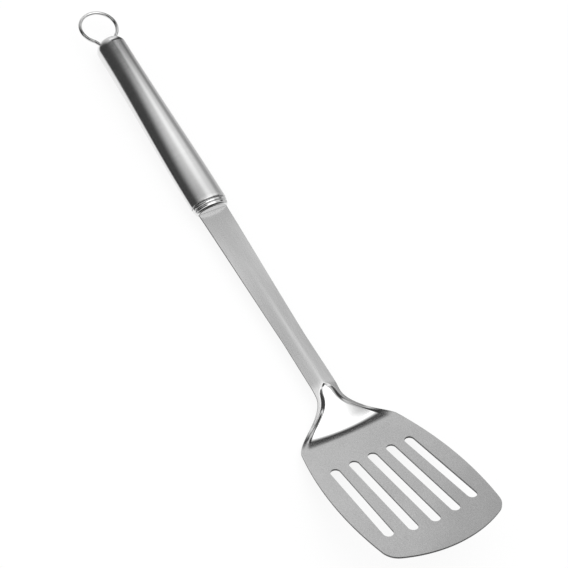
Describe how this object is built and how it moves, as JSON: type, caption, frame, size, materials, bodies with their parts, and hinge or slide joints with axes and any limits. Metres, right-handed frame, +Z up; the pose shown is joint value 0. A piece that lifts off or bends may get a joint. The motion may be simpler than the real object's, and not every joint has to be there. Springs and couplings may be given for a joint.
{
  "type": "slotted turner",
  "caption": "Slotted steel kitchen turner with a flared blade, long flat shank, oval hollow handle and wire hanging loop.",
  "frame": {"origin": "middle of the bounding box's underside, as the tool lies face up on a table", "axes": "+Y from the blade's tip to the handle's end, +Z up from the table, +X across the blade"},
  "size_m": [0.0734, 0.3706, 0.0391],
  "materials": {
    "satin_sheet": "satin, fine grain along the tool",
    "brushed_tube": "satin, fine grain around the tube",
    "polished_steel": "polished steel"
  },
  "bodies": {
    "root": {"blade_and_shank": "satin_sheet", "handle_tube": "brushed_tube", "front_ferrule": "polished_steel", "end_cap": "brushed_tube", "hanging_loop": "polished_steel"}
  },
  "joints": []
}
